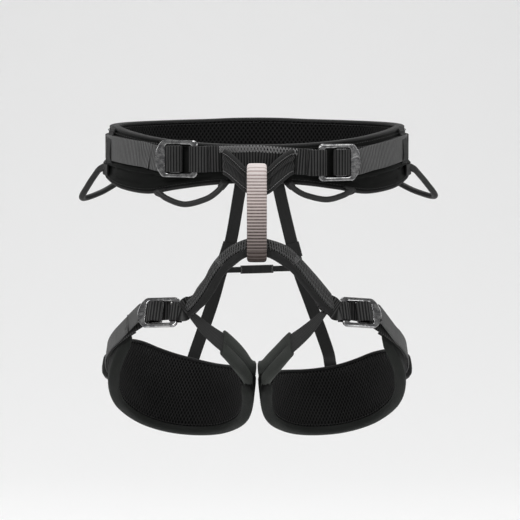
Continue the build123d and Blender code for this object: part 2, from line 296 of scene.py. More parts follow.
def tube(name, line, radius, material, body, slot, count=10, flat=1.0, **traits):
    """A round cord along a line, or a flatter one."""
    rings = rings_round(line, vec(0.13, 0.2, 0.97), count, radius, flat)
    places = half_turn(full_turn(count)) * radius
    return skin(name, rings, cloth(lengths(line), places), material, body, slot, **traits)


def threads(name, segments, radius, material, body="waist", slot="webbing"):
    """Many short threads, each a list of points, in one piece."""
    verts, faces, sides = [], [], 5
    for points in segments:
        rings = rings_round(np.asarray(points, float), vec(0.31, 0.17, 0.93), sides, radius)
        first, last = len(verts), len(verts) + (len(rings) - 1) * sides
        verts.extend(rings.reshape(-1, 3))
        for low in range(first, last, sides):
            high = low + sides
            for j in range(sides):
                k = (j + 1) % sides
                faces.append([low + j, low + k, high + k, high + j])
        faces.append([first + j for j in range(sides)][::-1])
        faces.append([last + j for j in range(sides)])
    places = np.array(verts)[[v for face in faces for v in face]][:, [0, 2]]
    return add_piece(name, verts, faces, places, material, body, slot)


def stitch_row(line, normal, lift=0.25, pitch=2.6, length=1.9):
    """A row of stitches along a line: each dips in at its ends."""
    step, dip = 0.3, 0.3
    line, normal = resample(line, step, normal)
    run = int(length / step)
    rows = []
    for i in range(0, len(line) - run, int(pitch / step)):
        a, b, c = line[i], line[i + run // 2], line[i + run]
        n = normal[i]
        rows.append([a - n * dip, a * 0.8 + b * 0.2 + n * lift, b * 0.8 + c * 0.2 + n * lift, c - n * dip])
    return rows


def zigzag(start, end, across, normal, pitch=1.0, lift=0.2):
    """One thread that goes back and forth across a line, as in a bar tack."""
    count = max(2, int(np.linalg.norm(end - start) / (pitch / 2)))
    i = np.arange(count + 1)[:, None]
    return start + (end - start) * i / count + np.where(i % 2, across, -across) + normal * lift


# -------------------- materials
def operator(operation, swapped=False):
    def apply(value, other):
        return value.look.math(operation, *((other, value) if swapped else (value, other)))

    return apply


class Value:
    """A shader node's output, which can be reckoned with like a number."""

    def __init__(self, look, socket):
        self.look, self.socket = look, socket

    __add__, __sub__, __rsub__ = operator("ADD"), operator("SUBTRACT"), operator("SUBTRACT", True)
    __mul__, __truediv__, __pow__ = operator("MULTIPLY"), operator("DIVIDE"), operator("POWER")


def plain(tree, node, **values):
    """Sets a node's plain inputs, and gives all its inputs."""
    inputs = tree.nodes[node].inputs
    for socket, value in values.items():
        inputs[socket.replace("_", " ")].default_value = value
    return inputs


class Look:
    """A Principled material, with short names for its nodes."""

    def __init__(self, name, roughness=0.7, metallic=0.0, sheen=0.0, specular=0.12, sheen_tint=(1, 1, 1)):
        self.material = bpy.data.materials.new(name)
        self.material.use_nodes = True
        self.tree = self.material.node_tree
        self.shader = plain(self.tree, "Principled BSDF", Roughness=roughness, Metallic=metallic,
                            Sheen_Weight=sheen, Sheen_Roughness=0.45, Sheen_Tint=(*sheen_tint, 1),
                            Specular_IOR_Level=specular)
        self.place = self.add("TexCoord", output="Object")
        self.u, self.v, _ = self.split(self.add("UVMap", uv_map="cloth"))

    def put(self, socket, value):
        if isinstance(value, Value):
            self.tree.links.new(value.socket, socket)
        else:
            socket.default_value = value

    def add(self, kind, inputs=None, output=0, **settings):
        """One output of a new node of this kind."""
        node = self.tree.nodes.new("ShaderNode" + kind)
        for key, value in settings.items():
            setattr(node, key, value)
        for key, value in (inputs or {}).items():
            self.put(node.inputs[key], value)
        return Value(self, node.outputs[output])

    def split(self, value):
        out = self.add("SeparateXYZ", {0: value})
        return [Value(self, socket) for socket in out.socket.node.outputs]

    def math(self, operation, a, b=0.0):
        return self.add("Math", {0: a, 1: b}, operation=operation)

    def wave(self, place, pitch, shift=0.0):
        """A wave from 0 to 1 with this pitch in metres."""
        return self.math("SINE", place * (2 * pi / pitch) + shift) * 0.5 + 0.5

    def noise(self, scale, detail=3.0, roughness=0.5, place=None):
        inputs = {"Vector": place or self.place, "Scale": scale, "Detail": detail, "Roughness": roughness}
        return self.add("TexNoise", inputs, "Fac")

    def colours(self, factor, stops):
        out = self.add("ValToRGB", {0: factor})
        ramp = out.socket.node.color_ramp
        while len(ramp.elements) < len(stops):
            ramp.elements.new(0.5)
        for element, (place, colour) in zip(ramp.elements, stops):
            element.position = place
            element.color = (*colour, 1)
        return out

    def range(self, factor, low, high):
        return self.add("MapRange", {"Value": factor, "To Min": low, "To Max": high})

    def done(self, colour, rough, height=None, distance=0.0, strength=1.0):
        """Puts the colour, the roughness and the relief on the material."""
        self.put(self.shader["Base Color"], colour)
        self.put(self.shader["Roughness"], rough)
        if height:
            relief = self.add("Bump", {"Strength": strength, "Distance": distance, "Height": height})
            self.put(self.shader["Normal"], relief)
        return self.material


def grey(value, tint=(1.0, 1.0, 1.0)):
    return tuple(value * t for t in tint)


def woven(name, dark, light, pitch, cross=0.0011, sheen=0.08, depth=0.00035, twill=False):
    """Webbing: ribs across it at the given pitch, and the fine yarns that cross them. Its colour follows this
    relief, with painted highlights on the raised parts and painted shade in the furrows.
    """
    look = Look(name, roughness=0.75, sheen=sheen)
    rib = look.wave(look.u, pitch, -pi / 2)
    along = look.u + look.v * 0.9 if twill else look.u
    yarn = look.wave(along, cross * 1.1) * look.wave(look.v, cross)
    height = rib * 0.65 + yarn * 0.35
    worn = look.noise(60, 4)
    # painted highlight and shade: the colour is lighter where the relief is high and darker in its furrows;
    # the two noises add tone that differs at random
    shade = height * 0.85 + worn * 0.2 + look.noise(900, 2) * 0.2
    colour = look.colours(shade, [(0.32, grey(dark)), (0.9, grey(light))])
    return look.done(colour, look.range(worn, 0.6, 0.85), height, depth, 0.9)


def shell_cloth(name, dark, light, tint, sheen):
    """The pads' outer cloth: a fine plain weave that is slightly creased."""
    look = Look(name, roughness=0.7, sheen=sheen, sheen_tint=(0.75, 0.8, 0.75))
    weave = look.wave(look.u, 0.0009) * look.wave(look.v, 0.0009)
    crease = look.noise(28, 5, 0.6)
    shade = weave * 0.35 + crease * 0.4 + look.noise(9, 2) * 0.3
    colour = look.colours(shade, [(0.25, grey(dark, tint)), (0.8, grey(light, tint))])
    return look.done(colour, look.range(crease, 0.55, 0.8), weave * 0.3 + crease * 1.6, 0.0005, 0.7)


def spacer_mesh(name, light, pitch):
    """The lining: an open knit with rows of small lozenge holes."""
    look = Look(name, roughness=0.8, sheen=0.02, specular=0.05)
    slant = look.v * 0.62
    hole = (look.wave(look.u + slant, pitch) * look.wave(look.u - slant, pitch)) ** 0.7
    knit = hole + look.wave(look.v, 0.0007) * 0.12
    shade = look.noise(14, 3) * 0.3 + 0.8 - knit
    colour = look.colours(shade, [(0.15, grey(0.0006)), (0.5, grey(0.0045)), (0.95, grey(light))])
    return look.done(colour, look.range(hole, 0.65, 0.9), 1.0 - knit, 0.0009)


def belay_cloth():
    """Pale ribbed webbing, with painted shade: it darkens towards the foot of the loop, and its grooves are
    painted darker and browner than its faces.
    """
    look = Look("belay_webbing", roughness=0.8, sheen=0.05, specular=0.06)
    low, high = (corner[2] * MM for corner in box("belay_loop"))
    drop = (high - look.split(look.place)[2]) / (high - low)
    # painted shade: colours that darken from the top of the loop to its foot, on the faces and, darker still,
    # in the grooves
    faces = [(0.0, (0.74, 0.68, 0.67)), (0.4, (0.59, 0.51, 0.49)), (1.0, (0.055, 0.042, 0.038))]
    groove_shade = [(0.0, (0.36, 0.28, 0.26)), (0.45, (0.045, 0.028, 0.024)), (1.0, (0.012, 0.008, 0.007))]
    depth = look.wave(look.u, RIB_PITCH * MM, pi / 2) ** 1.7
    fuzz = look.noise(500, 3)
    share = depth * look.range(fuzz, 0.6, 1.1)
    mixed = {"Factor": share, 6: look.colours(drop, faces), 7: look.colours(drop, groove_shade)}
    colour = look.add("Mix", mixed, 2, data_type="RGBA")
    height = 1.0 - depth + look.wave(look.v, 0.0012) * 0.25
    return look.done(colour, look.range(fuzz, 0.7, 0.95), height, 0.0004, 0.9)


def moulded(name):
    look = Look(name, roughness=0.5, specular=0.3)
    soft = look.noise(40, 3)
    colour = look.colours(soft, [(0.3, grey(0.010)), (0.75, grey(0.022))])
    return look.done(colour, look.range(soft, 0.42, 0.62), look.noise(700, 2), 0.00012, 0.6)


def polished(name, dark, light, low, high):
    """Tumbled steel: bright, with faint streaks, and a base colour painted in lighter and darker blotches as
    reflection.
    """
    look = Look(name, roughness=0.25, metallic=1.0)
    streak = look.noise(90, 5, 0.65, look.add("Mapping", {"Vector": look.place, "Scale": (1, 1, 9)}))
    stops = [(0.38, grey(dark, (1, 1, 1.03))), (0.62, grey(light))]
    # painted reflection: the base colour is mottled in light and dark blotches, standing in for the contrast
    # that reflections give polished steel
    colour = look.colours(look.noise(260, 4), stops)
    return look.done(colour, look.range(streak, low, high), streak, 0.00005, 0.5)


def thread_look(name, value):
    look = Look(name, roughness=0.7, sheen=0.1)
    twist = look.noise(1500, 2)
    colour = look.colours(twist, [(0.3, grey(value * 0.6)), (0.7, grey(value * 1.3))])
    return look.done(colour, look.range(twist, 0.5, 0.85))


RIB_PITCH = 3.0  # between the belay loop's ribs
RIB = 2.7  # between the ribs of the other webbing
SHELL = shell_cloth("shell_cloth", 0.002, 0.0075, (0.95, 1.05, 0.95), 0.01)
BORDER = shell_cloth("border_cloth", 0.007, 0.019, (0.95, 1.05, 0.96), 0.04)
SLEEVE_CLOTH = shell_cloth("sleeve_cloth", 0.02, 0.05, (0.96, 1.04, 0.95), 0.1)
MESH = spacer_mesh("spacer_mesh", 0.015, 0.0036)
LEG_MESH = spacer_mesh("leg_spacer_mesh", 0.022, 0.0041)
WEBBING = woven("belt_webbing", 0.0015, 0.055, RIB * MM)
TAIL = woven("tail_webbing", 0.026, 0.16, 0.0018, sheen=0.1, depth=0.0003)
LEG_TAIL = woven("leg_tail_webbing", 0.026, 0.145, 0.0018, cross=0.0009, depth=0.0002)
TEXTURED = woven("textured_webbing", 0.002, 0.12, 0.0026, cross=0.0015, twill=True, depth=0.0005)
ELASTIC = woven("elastic", 0.011, 0.034, 0.0011, cross=0.0008, depth=0.0002)
TUBE_WEB = woven("tube_webbing", 0.005, 0.03, 0.0012, cross=0.0009, depth=0.0002)
TIE_WEB = woven("tie_in_webbing", 0.006, 0.05, 0.0016, cross=0.001, depth=0.0004)
SLEEVE_WEB = woven("sleeve_webbing", 0.016, 0.042, 0.0014, cross=0.0009, depth=0.0002)
BINDING = woven("binding", 0.012, 0.034, 0.0013, cross=0.0007, depth=0.00015)
BELAY = belay_cloth()
PLASTIC = moulded("moulded_loop")
STEEL = polished("buckle_steel", 0.17, 0.40, 0.06, 0.18)
DARK_STEEL = polished("slider_steel", 0.12, 0.28, 0.10, 0.24)
THREAD = thread_look("thread", 0.035)
MID_THREAD = thread_look("mid_thread", 0.10)
PALE_THREAD = thread_look("pale_thread", 0.24)

# -------------------- the belt's shape
BELT_A, BELT_B = box("waist_pad")[1][:2]
PAD = BELT_A - box("waist_lining")[1][0]
LINING = 3.0
TOP = [(-95, 14.5), (-74, 19.5), (-48, 25.5), (-20, 29.5), (20, 30.8), (88, 32.4), (95, 33.7)]
BOTTOM = [(-95, -21.8), (-90, -24.5), (-82, -28.5), (-66, -34), (-46, -31), (-20, -23), (0, -19)]
BOTTOM += [(30, -22), (60, -28), (95, -30)]
FLARE = 0.11  # how far the belt's lower edge stands out on the hips, per millimetre of height
BELT_RUN, LINING_RUN = 125.0, 118.0  # the belt's length and its lining's for each radian round it
ROUND = np.linspace(-pi, pi, 361)[:-1]


def belt(t, z, out):
    """Points on the belt: t is 0 in front and rises to the wearer's left, out is outwards."""
    t, z, out = np.broadcast_arrays(*(np.asarray(a, float) for a in (t, z, out)))
    nx, ny = np.sin(t) / BELT_A, -np.cos(t) / BELT_B
    size = np.sqrt(nx**2 + ny**2)
    away = out - FLARE * (z - 5) * np.sin(t) ** 4
    return np.stack([BELT_A * np.sin(t) + nx / size * away, -BELT_B * np.cos(t) + ny / size * away, z], -1)


def belt_out(t):
    return unit(belt(t, 0, 1) - belt(t, 0, 0))


def t_at(x):
    """The place along the belt's front that is x millimetres to the side."""
    return np.arcsin(np.clip(x / BELT_A, -1, 1))


def belt_top(t):
    return smooth(-BELT_B * np.cos(t), TOP)


def belt_bottom(t):
    return smooth(-BELT_B * np.cos(t), BOTTOM)


def around(start, end, step):
    """Places along the belt between two of them, about step millimetres apart."""
    return steps(start, end, step / BELT_RUN)


def lining(name, surface, run, low, high, count, height, dip, apart, **how):
    """The soft mesh inside a pad, between these heights."""
    face = between(low, high, np.linspace(0, 1, count))
    depth = -PAD - LINING - puffed(np.linspace(0, 1, count), height, dip, 0.05)
    back = between(low, high, np.linspace(1, 0, 4))
    cushion(name, surface, run, (face, depth), (back, -PAD - 0.1), apart, slot="mesh", soft=0.3, **how)


def belt_pad():
    t = ROUND[:, None]
    low, high = belt_bottom(ROUND), belt_top(ROUND)
    h = np.linspace(0, 1, 34)
    z = between(low, high, h)
    back = between(low + 1, high - 1, np.linspace(1, 0, 8))
    seam_z, strap_low = low[:, None] + 8.5, strap_middle(t) - 13.5
    covered = smooth(np.abs(t), [(0, 0), (0.35, 0), (0.6, 1), (1.75, 1), (2.1, 0), (pi, 0)])
    roll = 2.3 * covered * bump_at(z, strap_low - 2.4, 1.7)
    seams = 1.1 * bump_at(z, seam_z, 0.8) + 1.3 * covered * bump_at(z, strap_low - 5.4, 0.9)
    recess = 1.2 * (z > seam_z) * (z < strap_low - 5) * covered
    face = (z, puffed(h, 1.0, 1.6, 0.03) + roll - seams - recess - 0.4)

    def surface(z, out):
        return belt(t, z, out)

    cushion("waist_pad_shell", surface, ROUND * BELT_RUN, face, (back, -PAD), 90, SHELL, closed=True,
            replaces="waist_pad", soft=0.7)
    lining("waist_lining_mesh", surface, ROUND * LINING_RUN, low + 1.5, high - 1.5, 22, 0.8, 2.4, 90,
           material=MESH, closed=True, replaces="waist_lining")


def belt_binding(name, edge, sign):
    """The folded tape that closes the pad's edge."""
    z = edge(ROUND)
    turn, half_depth, half_height = full_turn(14), 5.0, 1.7
    out = -(PAD + LINING) / 2 - 0.2 + half_depth * pressed(np.cos(turn), 0.6)
    up = half_height * pressed(np.sin(turn), 0.8)
    rings = belt(ROUND[:, None], (z - sign * 1.4)[:, None] + up, out)
    skin(name, rings, cloth(ROUND * BELT_RUN, half_turn(turn) * 3), BINDING, closed=True)
    rows = []
    for out_at, facing in ((1.1, 1), (-PAD - LINING - 1.2, -1)):
        rows += stitch_row(belt(ROUND, z - sign * 4.6, out_at), facing * belt_out(ROUND), 0.15, 3.0, 2.0)
    threads(name + "_stitches", rows, 0.22, THREAD, slot="shell")


# -------------------- the webbing's height on the belt
BUCKLES = {}  # each buckle's hinge, the ways outwards along it and up its bar, and away from the body
for name in SIDES:
    for kind in ("waist", "leg"):
        joint = JOINTS[f"{name}_{kind}_buckle_tilt"]
        hinge, up = place_of(joint), -unit(joint["axis"])
        out = sum(box(f"{name}_{kind}_buckle_frame")) / 2 - hinge
        out = unit(out - up * np.dot(out, up))
        if kind == "waist":
            out = unit(vec(out[0], out[1], 0))
        BUCKLES[name, kind] = (hinge, out, up, np.cross(out, up))

FRONT_Z, HIP_Z = 2.2, 9.0
BUCKLE_RISE = {"right": (0.0, 1.2), "left": (0.3, 0.8)}  # of the webbing inside and outside the buckle


def strap_middle(t):
    """Height of the webbing's middle along the belt."""
    z = {}
    for name, (inside, outside) in BUCKLE_RISE.items():
        bar = BUCKLES[name, "waist"][0][2]
        table = [(0, FRONT_Z), (0.42, bar + inside), (0.62, bar + outside), (1.35, HIP_Z), (1.7, HIP_Z)]
        z[name] = smooth(np.abs(t), table)
    return np.where(np.asarray(t) > 0, z["left"], z["right"])


def belt_line(start, end, out, step=1.0):
    """A line along the belt's webbing, with its width's direction."""
    t = around(start, end, step)
    line = belt(t, strap_middle(t), out)
    across = np.cross(tangents(line), belt_out(t))
    return line, across * np.sign(across[:, 2:3]), t


# -------------------- leg loops' shape
LEG = {}
for name in SIDES:
    mount = MOUNTS[f"{name}_leg_opening"]
    axis = unit(mount["axis"])
    sideways = unit(vec(1, 0, 0) - axis * axis[0])
    LEG[name] = (place_of(mount), sideways, np.cross(axis, sideways), axis)
THIGH_A, THIGH_B = 75.0, 91.0
LEG_TOP = [(-91, -4), (-32, -8), (0, 4), (40, 24), (70, 36), (91, 40)]
LEG_LOW = [(-91, -26), (-32, -34), (0, -41), (40, -46), (70, -46), (91, -45)]
# how much the pad's edges rise from the outside of the thigh, by degrees round it
LEG_TOP_LEAN = {
    "right": [(50, 3), (60, 3), (110, 4), (150, -2), (180, -7), (230, -16), (270, -16), (300, -4)],
    "left": [(50, 2), (60, -3), (110, -7), (150, -14), (180, -18), (230, -21), (270, -17), (300, -4)],
}
LEG_LOW_LEAN = [(40, 21), (46, 17), (52, 12), (60, 6.5), (70, 2), (80, 0), (110, -1), (180, -4.5), (240, -6)]
LEG_LOW_LEAN += [(290, -3)]
PAD_START, PAD_END = radians(44), radians(290)  # from the outside of the thigh to the inside
# lengths for each radian round the thigh, of the pad, its lining and the straps and sleeve
LEG_RUN, LEG_LINING_RUN, THIGH_RUN = 84.0, 76.0, 80.0


def thigh(name, a, w, out):
    """Points on a leg loop: a is 0 in front and rises to the outside of the thigh, w is up
    through the loop and out is away from the thigh."""
    origin, x, y, z = LEG[name]
    side = SIDES[name]
    a, w, out = np.broadcast_arrays(*(np.asarray(v, float) for v in (a, w, out)))
    wide = THIGH_A + np.where(np.sin(a) > 0, np.interp(w, [-54, -12], [-9.0, -5.0]), 1.3)
    nx, ny = side * np.sin(a) / wide, -np.cos(a) / THIGH_B
    size = np.sqrt(nx**2 + ny**2)
    px = side * wide * np.sin(a) + nx / size * out
    py = -THIGH_B * np.cos(a) + ny / size * out
    return origin + px[..., None] * x + py[..., None] * y + w[..., None] * z


def thigh_out(name, a):
    return unit(thigh(name, a, 0, 1) - thigh(name, a, 0, 0))


def leg_top(name, a):
    return smooth(-THIGH_B * np.cos(a), LEG_TOP) + smooth(np.degrees(a), LEG_TOP_LEAN[name])


def leg_low(a):
    return smooth(-THIGH_B * np.cos(a), LEG_LOW) + smooth(np.degrees(a), LEG_LOW_LEAN)


def leg_pad(name):
    a = np.linspace(PAD_START, PAD_END, 150)
    low, high = leg_low(a), leg_top(name, a)
    h = np.linspace(0, 1, 26)
    w = between(low, high, h)
    back = between(low + 1, high - 1, np.linspace(1, 0, 8))
    close = rounded_ends(150, 4)
    out = (puffed(h, 1.2, 1.8, 0.04) - 0.9 * bump_at(w, low[:, None] + 9, 0.8)) * close - 2.5 * (1 - close)
    cushion(f"{name}_leg_pad_shell", lambda w, out: thigh(name, a[:, None], w, out), a * LEG_RUN, (w, out),
            (back, -PAD * close - 3.2 * (1 - close)), 120, SHELL, body="leg_loops",
            replaces=f"{name}_leg_pad", soft=0.7)


def leg_lining(name):
    a = np.linspace(radians(74), PAD_END - 0.04, 140)
    low, high = leg_low(a) + 5.0, leg_top(name, a) - 1.2
    lining(f"{name}_leg_lining_mesh", lambda w, out: thigh(name, a[:, None], w, out), a * LEG_LINING_RUN,
           low, high, 20, 0.9, 2.3, 120, material=LEG_MESH, body="leg_loops", replaces=f"{name}_leg_lining")


def leg_border(name):
    """The padded roll of shell cloth round the pad's lower edge, and the tape on its upper one."""
    a = np.linspace(PAD_START + 0.02, PAD_END - 0.02, 170)
    turn = full_turn(18)
    places = cloth(a * LEG_RUN, half_turn(turn) * 5)
    ends = rounded_ends(170, 5)
    w, half_height, half_depth = leg_low(a) + 3.2, 4.0, 5.6
    up = w[:, None] + half_height * pressed(np.sin(turn), 0.9) * ends
    rings = thigh(name, a[:, None], up, -4.6 + half_depth * pressed(np.cos(turn), 0.75) * ends)
    skin(f"{name}_leg_border", rings, places, BORDER, "leg_loops", soft=0.5)
    up = (leg_top(name, a) - 0.8)[:, None] + 1.9 * np.sin(turn)
    rings = thigh(name, a[:, None], up, -4.8 + 5.0 * np.cos(turn))
    skin(f"{name}_leg_top_binding", rings, places, BINDING, "leg_loops")
    rows = []
    inside = -thigh_out(name, a)
    for out, normal in ((-PAD - LINING - 1.0, inside), (1.0, -inside)):
        rows += stitch_row(thigh(name, a, w + 4.4, out)[24:], normal[24:], 0.2, 3.0, 2.0)
    threads(f"{name}_leg_stitches", rows, 0.22, THREAD, "leg_loops", "shell")


# -------------------- panels seen from the front
def panel(name, upper, lower, depth, thick, material, body, step, crown, folds=(), piping=0.0, count=11,
          **traits):
    """A sheet between two edges drawn on the front view. depth gives its middle at (x, z); folds
    are (place across it, height, spread)."""
    edges = [through([(x, 0, z) for x, z in edge], 0.6) for edge in (upper, lower)]
    n = max(6, int(max(lengths(edge)[-1] for edge in edges) / step))
    top, foot = (at_shares(np.linspace(0, 1, n), lengths(e) / lengths(e)[-1], e) for e in edges)
    share = np.linspace(0, 1, count)
    mid = depth(between(foot[:, 0], top[:, 0], share), between(foot[:, 2], top[:, 2], share))
    normal = unit(np.cross(np.gradient(mid, axis=0), np.gradient(mid, axis=1)))
    normal *= np.where(normal[..., 1:2] > 0, -1, 1)
    half = thick / 2 * np.sqrt(np.clip(1 - np.abs(2 * share - 1) ** 6, 0.02, 1))[:, None]
    swell = crown * (1 - (2 * share - 1) ** 2)
    for place, height, spread in folds:
        swell = swell + height * bump_at(share, place, spread)
    front, back = mid + normal * (half + swell[:, None]), mid - normal * half
    v = np.linalg.norm(top - foot, axis=1)[:, None] * (share - 0.5)
    places = cloth(lengths((top + foot) / 2), joined(v, v[:, ::-1]))
    pieces = [skin(name, joined(front, back[:, ::-1]), places, material, body, "webbing", **traits)]
    if piping:
        for label, k in (("upper", -1), ("lower", 0)):
            line = resample(mid[:, k], 0.8)
            pieces.append(tube(f"{name}_{label}_piping", line, piping, BINDING, body, "webbing"))
    return pieces, mid, normal


# -------------------- waist belt
WAIST_WIDE = 25.0
SIDE_END, TAIL_END, KEEPER, KEEPER_TAB = 1.72, 1.41, (1.17, 1.35), (1.30, 1.53)  # radians round the belt


def belt_tack(at, low, high, out, half_width):
    """One thread of a bar tack that goes up the belt's webbing."""
    n = belt_out(at)
    return zigzag(belt(at, low, out), belt(at, high, out), unit(vec(-n[1], n[0], 0)) * half_width, n)


def front_webbing():
    inner = {name: t_at(BUCKLES[name, "waist"][0][0]) for name in SIDES}
    line, across, t = belt_line(inner["right"] + 0.075, inner["left"] - 0.075, 2.0, 0.5)
    strap("front_strap", line, across, WAIST_WIDE, 2.6, WEBBING, ribs=(RIB, 0.7), replaces="front_webbing")
    rows = []
    for shift in (0.0, 1.7, 3.4):
        places = around(-0.36 + shift * 0.008, 0.42, 2.6)
        for first, second in ((6.0, 12.2), (12.2, 6.0)):
            lift = np.where(np.arange(len(places)) % 2, second, first)
            rows.append(belt(places, strap_middle(places) + lift, 3.75))
    threads("front_zigzag", rows, 0.42, PALE_THREAD)
    for label, lift in (("upper", 12.6), ("lower", -11.8)):
        edge = belt(t, strap_middle(t) + lift, 3.3)
        threads(f"front_edge_{label}", stitch_row(edge, belt_out(t), 0.2, 2.4, 1.7), 0.25, THREAD)
    for label, x in (("right", -42.0), ("left", 45.0)):
        ats = [t_at(x + k * 2.4) for k in range(3)]
        tacks = [belt_tack(at, strap_middle(at) - 11, strap_middle(at) + 5.5, 3.5, 0.8) for at in ats]
        threads(f"front_bar_tack_{label}", tacks, 0.33, PALE_THREAD)


def side_webbing(name):
    side = SIDES[name]
    start = t_at(BUCKLES[name, "waist"][0][0] + side * 14)
    line, across, _ = belt_line(start, side * SIDE_END, 1.4)
    strap(f"{name}_side_strap_webbing", line, across, WAIST_WIDE, 1.8, WEBBING, replaces=f"{name}_side_strap")


def at_buckle(name, kind, route):
    """Points at a buckle, from their places outwards along it and away from the body."""
    hinge, out, _, away = BUCKLES[name, kind]
    return [hinge + out * x + away * y for x, y in route]


def buckle_tail(name, kind, tail_line, tail_across):
    """A tail from under its buckle's end plate, with its width's direction."""
    back, first = (0.0, 6) if kind == "waist" else (1.6, 17)
    route = [(x - back, y) for x, y in ((27.6, -2.2), (30.0, -2.9), (33, -3.1), (37, -3.2), (41, -3.2))]
    points = np.vstack([at_buckle(name, kind, route), tail_line[first::8]])
    across = np.vstack([[BUCKLES[name, kind][2]] * len(route), tail_across[first::8]])
    line = through(np.hstack([points, across]), 0.5)
    return resample(line[:, :3], 0.5, line[:, 3:])


def buckle_roll(name, kind, width, first, last, body):
    """The webbing that rolls over the buckle's slider, between its slot and its end plate."""
    mid = (first + last) / 2
    route = [(last + 1, -4.2), (mid, -4.6), (first + 2, -4.3), (first, -2.4), (first - 0.3, 0.4)]
    route += [(first + 1.4, 3.0), (first + 4.4, 4.4), (mid, 4.8), (last - 4.0, 4.4), (last - 1.4, 3.0)]
    route += [(last - 0.3, 0.6), (last - 0.2, -1.6), (last + 1.2, -2.8)]
    line = resample(through(at_buckle(name, kind, route), 0.4), 0.4)
    strap(f"{name}_{kind}_buckle_roll", line, BUCKLES[name, kind][2], width, 1.6, WEBBING, body,
          ribs=(RIB, 0.55), count=9)


BAR_START = {
    "waist": [(-11, -1.2), (-6.5, 1.6), (-2.5, 3.1), (1.2, 3.1)],
    "leg": [(-7.5, 0.6), (-4.5, 2.5), (-1.5, 3.2), (1.6, 3.1)],
}
BAR_END = {"waist": (-7, -3.6), "leg": (-6, -3.6)}
LEG_LEAD = {
    "right": [(-54, -131.5), (-61, -138.2), (-67.5, -142.0)],
    "left": [(58.5, -130), (66, -137.2), (72.5, -141.0)],
}


def bar_loop(name, kind, width, lead, lead_across, body):
    """The fixed webbing that loops round the buckle's inner bar."""
    route = BAR_START[kind] + [(4.3, 1.6), (4.9, -0.6), (3.2, -2.6), (-1, -3.3), BAR_END[kind]]
    points = np.vstack([lead, at_buckle(name, kind, route)])
    across = np.vstack([lead_across, [BUCKLES[name, kind][2]] * len(route)])
    line = through(np.hstack([points, across]), 0.5)
    line, across = resample(line[:, :3], 0.5, line[:, 3:])
    if kind == "leg":  # it widens as it comes out of the crosspiece
        width = np.minimum(width, 11.0 + 0.6 * lengths(line))
    strap(f"{name}_{kind}_bar_loop", line, across, width, 1.7, WEBBING, body, ribs=(RIB, 0.6))


def buckle_webbing(name):
    side = SIDES[name]
    inner_bar = t_at(BUCKLES[name, "waist"][0][0])
    lead, across, _ = belt_line(inner_bar - side * 0.17, inner_bar - side * 0.10, 4.0, 3.0)
    bar_loop(name, "waist", WAIST_WIDE, lead, across, "waist")
    lead = [vec(x, crosspiece_y(x) + 0.4, z) for x, z in LEG_LEAD[name]]
    bar_loop(name, "leg", 19.0, lead, [vec(-side * tilt, 0, 1) for tilt in (-0.95, -0.7, -0.38)], "leg_loops")
    buckle_roll(name, "waist", WAIST_WIDE, 14.6, 29.4, "waist")
    buckle_roll(name, "leg", 20.5, 14.4, 28.4, "leg_loops")


def tail(name):
    side = SIDES[name]
    start = t_at(BUCKLES[name, "waist"][0][0] + side * 43)
    line, across, t = belt_line(start, side * TAIL_END, 3.0)
    share = np.linspace(0, 1, len(t))
    line = line + belt_out(t) * (1.0 * bump_at(share, 0.45, 0.3) - 2.0 * share**14)[:, None]
    full, sides = buckle_tail(name, "waist", line, across)
    strap(f"{name}_tail_webbing", full, sides, 24.6, 1.5, TAIL, slot="tail_webbing", ribs=(1.8, 0.16),
          count=9, replaces=f"{name}_tail")
    rows = []
    for i in (len(line) - 3, len(line) - 9):
        reach, along = across[i] * 10, unit(line[i] - line[i - 3]) * 0.7
        rows.append(zigzag(line[i] - reach, line[i] + reach, along, belt_out(t[i]), 1.1, 0.95))
    threads(f"{name}_tail_end_stitches", rows, 0.3, THREAD, slot="tail_webbing")


KEEPER_RISE = [(0, 0.9), (0.1, 2.4), (0.2, 4.2), (0.32, 4.8), (0.55, 4.8), (0.72, 4.3), (0.86, 2.8), (1, 0.9)]


def keeper(name):
    """The elastic band that holds the tail, sewn to the pad above and below it."""
    start, end = (SIDES[name] * place for place in KEEPER)
    middle, beside = (start + end) / 2, start + (end - start) * 6 / 11
    low, high = strap_middle(beside) - 17.0, belt_top(beside) - 1.0
    h = np.linspace(0, 1, 40)
    line = belt(middle, low + (high - low) * h, smooth(h, KEEPER_RISE))
    across = unit(belt(end, 10, 5) - belt(start, 10, 5))
    strap(f"{name}_keeper_band", line, across, 10.5, 1.2, ELASTIC, replaces=f"{name}_keeper", count=9,
          ribs=(1.2, 0.1))
    rows = []
    for share in (0.08, 0.92):
        c = belt(middle, low + (high - low) * share, smooth(share, KEEPER_RISE) + 0.75)
        rows.append(zigzag(c - across * 4.4, c + across * 4.4, vec(0, 0, 0.9), belt_out(middle), 0.9, 0.3))
    threads(f"{name}_keeper_tacks", rows, 0.28, THREAD)


def keeper_tab(name):
    """The folded tab under the keeper, where the rear gear loop starts."""
    line = belt(around(*(SIDES[name] * place for place in KEEPER_TAB), 1.0), -13.5, 1.6)
    strap(f"{name}_keeper_tab_webbing", line, vec(0, 0, 1), 11.0, 1.9, WEBBING,
          replaces=f"{name}_keeper_tab", ribs=(RIB, 0.2))


GEAR_SPREAD = {"right_rear": vec(-3, 0, 0.5), "left_rear": vec(7, 0, 2.5)}
BENDS = {  # places along the line between the loop's ends, and how far it hangs there
    "front": [(0, 0), (0.15, 0.48), (0.42, 0.9), (0.73, 0.74), (0.9, 0.4), (1, 0)],
    "rear": [(0, 0), (0.12, 0.5), (0.31, 0.96), (0.67, 0.72), (0.88, 0.36), (1, 0)],
}


